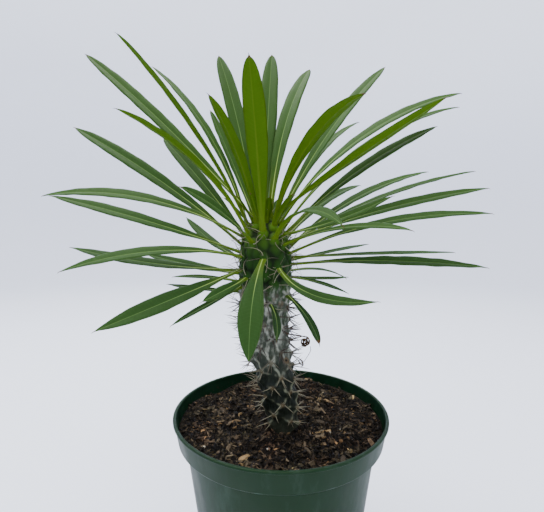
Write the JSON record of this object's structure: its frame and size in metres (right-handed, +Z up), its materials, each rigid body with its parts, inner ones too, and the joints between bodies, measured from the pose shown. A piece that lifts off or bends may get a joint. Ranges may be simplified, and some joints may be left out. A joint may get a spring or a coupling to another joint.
{
  "type": "potted madagascar palm",
  "caption": "Young Madagascar palm with a spiny leaning stem and a crown of long narrow leaves, standing in soil in a round nursery pot.",
  "frame": {"origin": "centre of the pot's underside, on the surface it stands on", "axes": "+Z up along the pot's axis; -Y is the side the viewer sees, and the stem leans towards -X"},
  "size_m": [0.3122, 0.2173, 0.4179],
  "materials": {
    "pot": "matte",
    "soil": "rough",
    "stem": "matte",
    "leaf": "satin",
    "withered": "matte"
  },
  "bodies": {
    "root": {"pot": "pot", "soil": "soil", "stem": "stem", "withered_leaf": "withered", "leaf_01": "leaf", "leaf_02": "leaf", "leaf_03": "leaf", "leaf_04": "leaf", "leaf_05": "leaf", "leaf_06": "leaf", "leaf_07": "leaf", "leaf_08": "leaf", "leaf_09": "leaf", "leaf_10": "leaf", "leaf_11": "leaf", "leaf_12": "leaf", "leaf_13": "leaf", "leaf_14": "leaf", "leaf_15": "leaf", "leaf_16": "leaf", "leaf_17": "leaf", "leaf_18": "leaf", "leaf_19": "leaf", "leaf_20": "leaf", "leaf_21": "leaf", "leaf_22": "leaf", "leaf_23": "leaf", "leaf_24": "leaf", "leaf_25": "leaf", "leaf_26": "leaf", "leaf_27": "leaf", "leaf_28": "leaf", "leaf_29": "leaf", "leaf_30": "leaf", "leaf_31": "leaf", "leaf_32": "leaf", "leaf_33": "leaf", "leaf_34": "leaf", "leaf_35": "leaf", "leaf_36": "leaf", "leaf_37": "leaf", "leaf_38": "leaf", "leaf_39": "leaf", "leaf_40": "leaf", "leaf_41": "leaf", "leaf_42": "leaf", "leaf_43": "leaf", "leaf_44": "leaf", "leaf_45": "leaf", "leaf_46": "leaf", "leaf_47": "leaf", "leaf_48": "leaf", "leaf_49": "leaf", "leaf_50": "leaf", "leaf_51": "leaf", "leaf_52": "leaf", "leaf_53": "leaf", "leaf_54": "leaf", "leaf_55": "leaf"}
  },
  "joints": []
}
